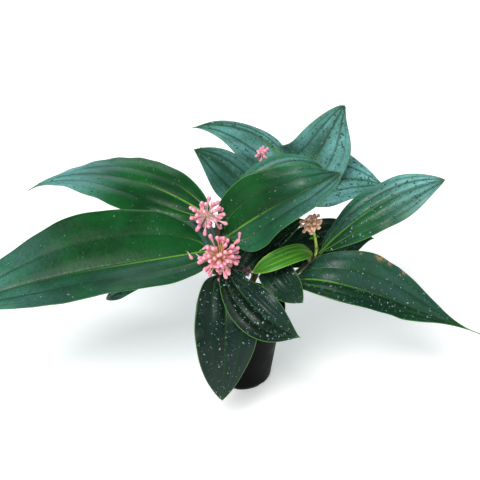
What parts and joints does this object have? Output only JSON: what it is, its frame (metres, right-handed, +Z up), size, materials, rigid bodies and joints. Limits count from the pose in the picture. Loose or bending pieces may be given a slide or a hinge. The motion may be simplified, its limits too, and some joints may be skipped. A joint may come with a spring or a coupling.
{
  "type": "potted medinilla plant",
  "caption": "Medinilla with broad ribbed glossy leaves and clusters of pink buds on three stems, in a round black nursery pot.",
  "frame": {"origin": "middle of the pot's flat base, on the surface that it stands on", "axes": "+Z up along the pot's axis; +X to the right and -Y towards the viewer, with the longest leaf reaching out along -X"},
  "size_m": [0.6598, 0.333, 0.3565],
  "materials": {
    "black_plastic": "satin black moulded plastic",
    "dark_peat": "crumbly dark potting peat",
    "brown_stem": "green-brown woody stem",
    "leaf_green": "glossy leathery dark green leaf",
    "young_leaf_green": "soft bright green young leaf",
    "pink_bud": "waxy pink buds on pale stalks",
    "peach_bud": "small peach buds on yellow-green stalks"
  },
  "bodies": {
    "root": {"pot": "black_plastic", "soil": "dark_peat", "stem_left": "brown_stem", "stem_back": "brown_stem", "stem_right": "brown_stem", "leaf_left_long": "leaf_green", "leaf_left_upper": "leaf_green", "leaf_left_under": "leaf_green", "leaf_left_away": "leaf_green", "leaf_centre": "leaf_green", "leaf_centre_behind": "leaf_green", "leaf_front_low": "leaf_green", "leaf_front_right": "leaf_green", "leaf_back_left_low": "leaf_green", "leaf_back_left_top": "leaf_green", "leaf_back_top": "leaf_green", "leaf_back_right": "leaf_green", "leaf_back_away": "leaf_green", "leaf_inner_left": "leaf_green", "leaf_inner_right": "leaf_green", "leaf_right_upper": "leaf_green", "leaf_right_lower": "leaf_green", "leaf_right_back": "leaf_green", "leaf_right_front": "leaf_green", "leaf_young_left": "young_leaf_green", "spray_left": "pink_bud", "spray_front": "pink_bud", "spray_right": "peach_bud", "spray_back": "pink_bud"}
  },
  "joints": []
}
